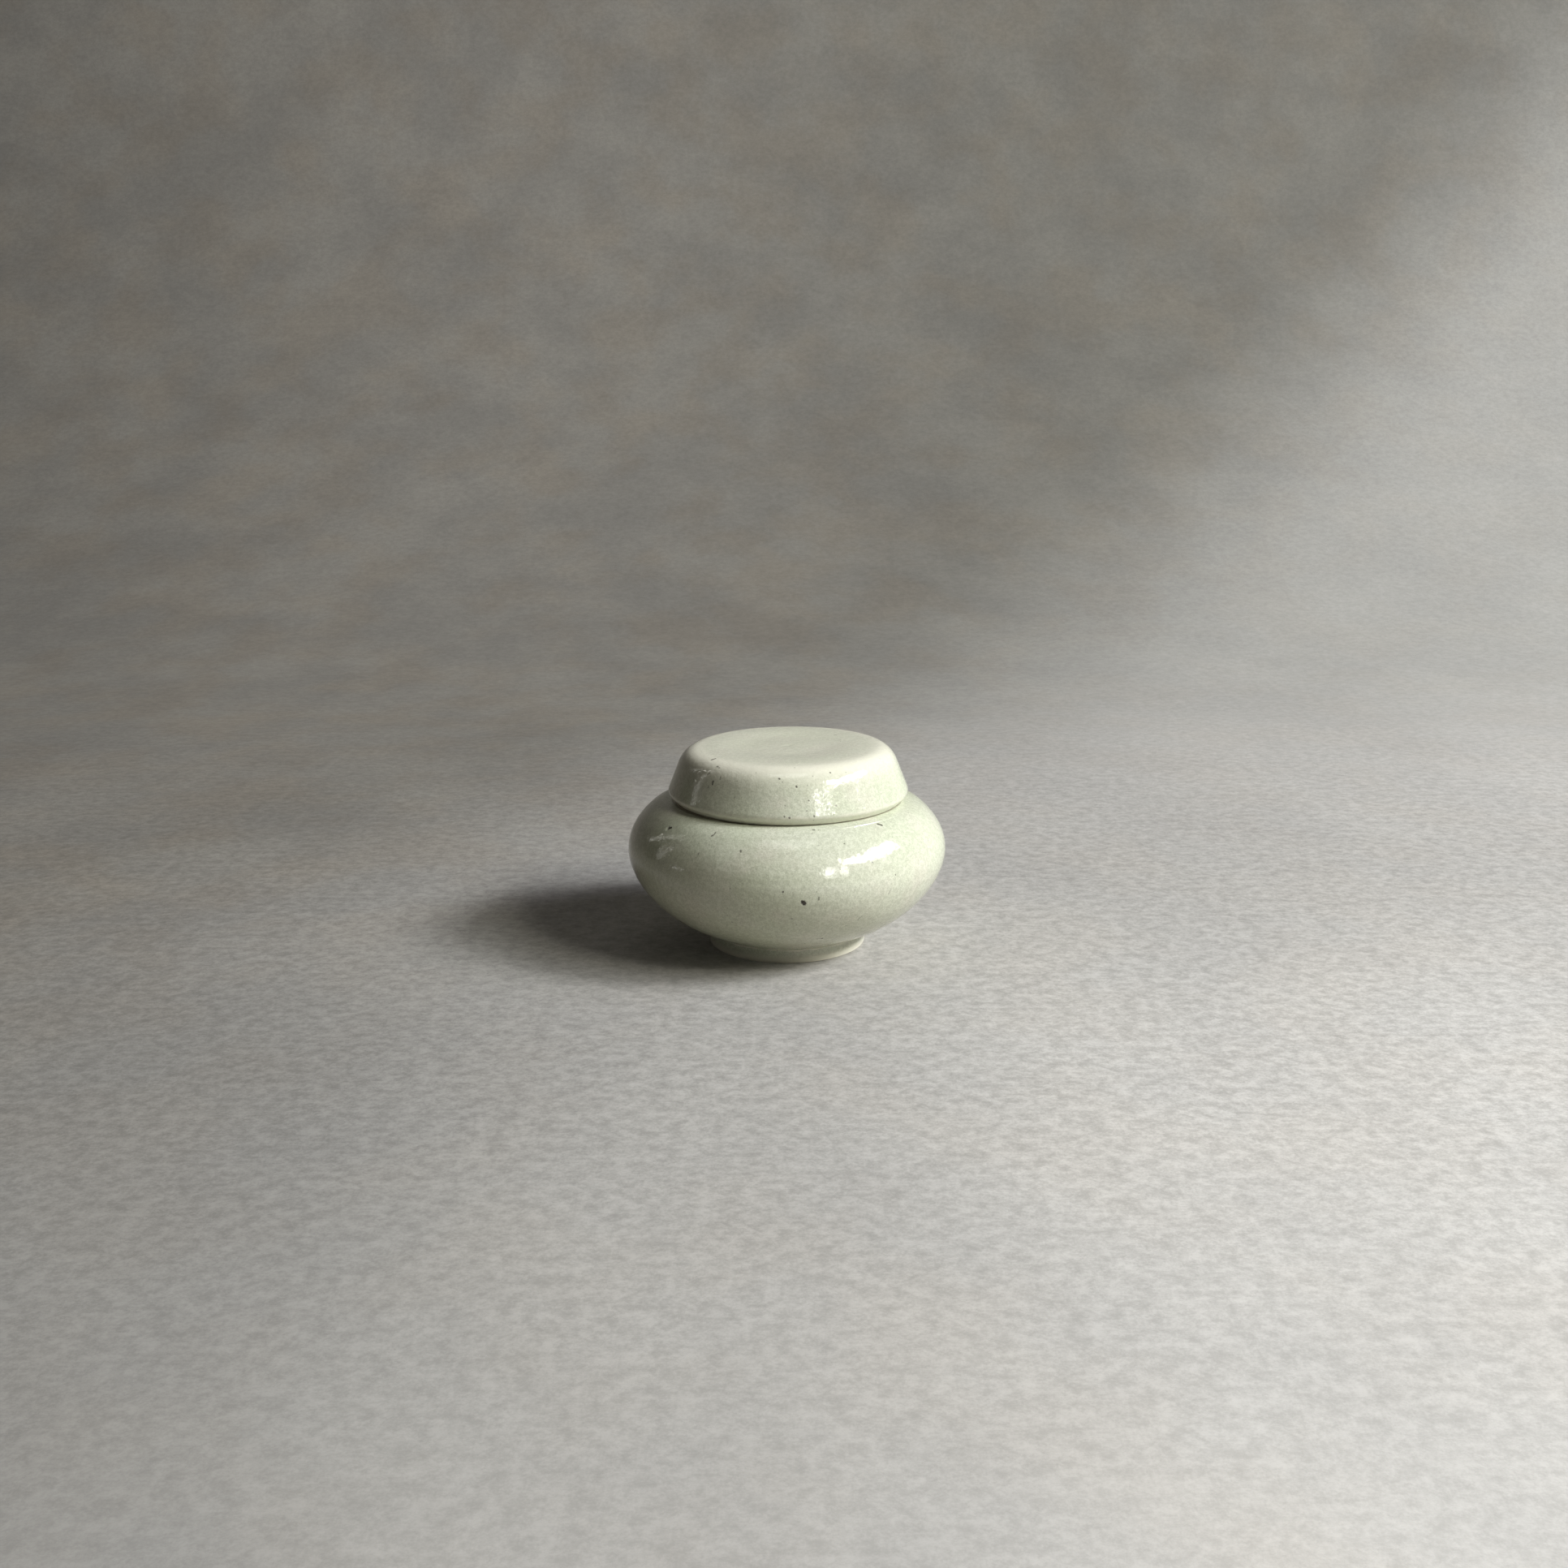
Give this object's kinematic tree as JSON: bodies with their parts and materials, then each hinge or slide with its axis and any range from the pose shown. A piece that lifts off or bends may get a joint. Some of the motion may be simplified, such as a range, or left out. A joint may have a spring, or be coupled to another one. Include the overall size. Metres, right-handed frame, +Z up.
{
  "type": "lidded jar",
  "caption": "Low round porcelain jar with a foot ring and a short neck, under a shallow cap lid that lifts off and rests on the shoulder.",
  "frame": {"origin": "centre of the foot ring, on the surface that the jar stands on", "axes": "+Z up along the axis that the jar was thrown round, +X to the right and +Y away from the viewer"},
  "size_m": [0.08, 0.08, 0.0506],
  "materials": {
    "jar_glaze": "glossy pale grey-green glaze over porcelain, with small dark iron specks",
    "lid_glaze": "glossy pale grey-green glaze over porcelain, with small dark iron specks"
  },
  "bodies": {
    "jar": {"jar": "jar_glaze"},
    "lid": {"lid": "lid_glaze"}
  },
  "joints": [
    {"name": "lid_lift", "type": "slide", "parent": "jar", "child": "lid", "axis": [0, 0, 1], "range_m": [0, 0.05]}
  ]
}
